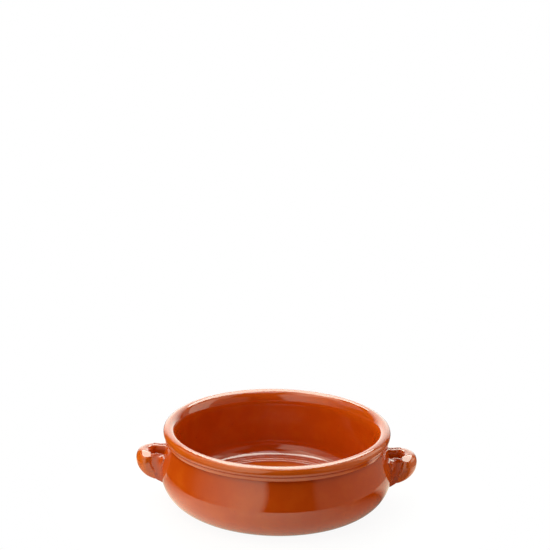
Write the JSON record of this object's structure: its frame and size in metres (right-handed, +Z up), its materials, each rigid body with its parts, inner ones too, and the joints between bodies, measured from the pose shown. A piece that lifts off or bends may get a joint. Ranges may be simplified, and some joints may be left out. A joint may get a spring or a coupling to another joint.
{
  "type": "lugged casserole dish",
  "caption": "Round glazed terracotta casserole dish with a rolled rim, a rounded belly, a flat foot and a looped lug on either side, for baking and serving one portion.",
  "frame": {"origin": "under the middle of the foot, on the surface that the dish stands on", "axes": "+X from the left lug to the right lug, +Y to the back, +Z up through the middle of the bowl"},
  "size_m": [0.161, 0.133, 0.044],
  "materials": {
    "glazed_terracotta": "clear amber gloss glaze over orange-red terracotta",
    "glazed_luting_clay": "the same gloss glaze over hand-pressed clay"
  },
  "bodies": {
    "root": {"bowl": "glazed_terracotta", "lug_left": "glazed_terracotta", "lug_right": "glazed_terracotta", "luting_left_front": "glazed_luting_clay", "luting_left_back": "glazed_luting_clay", "luting_right_front": "glazed_luting_clay", "luting_right_back": "glazed_luting_clay"}
  },
  "joints": []
}
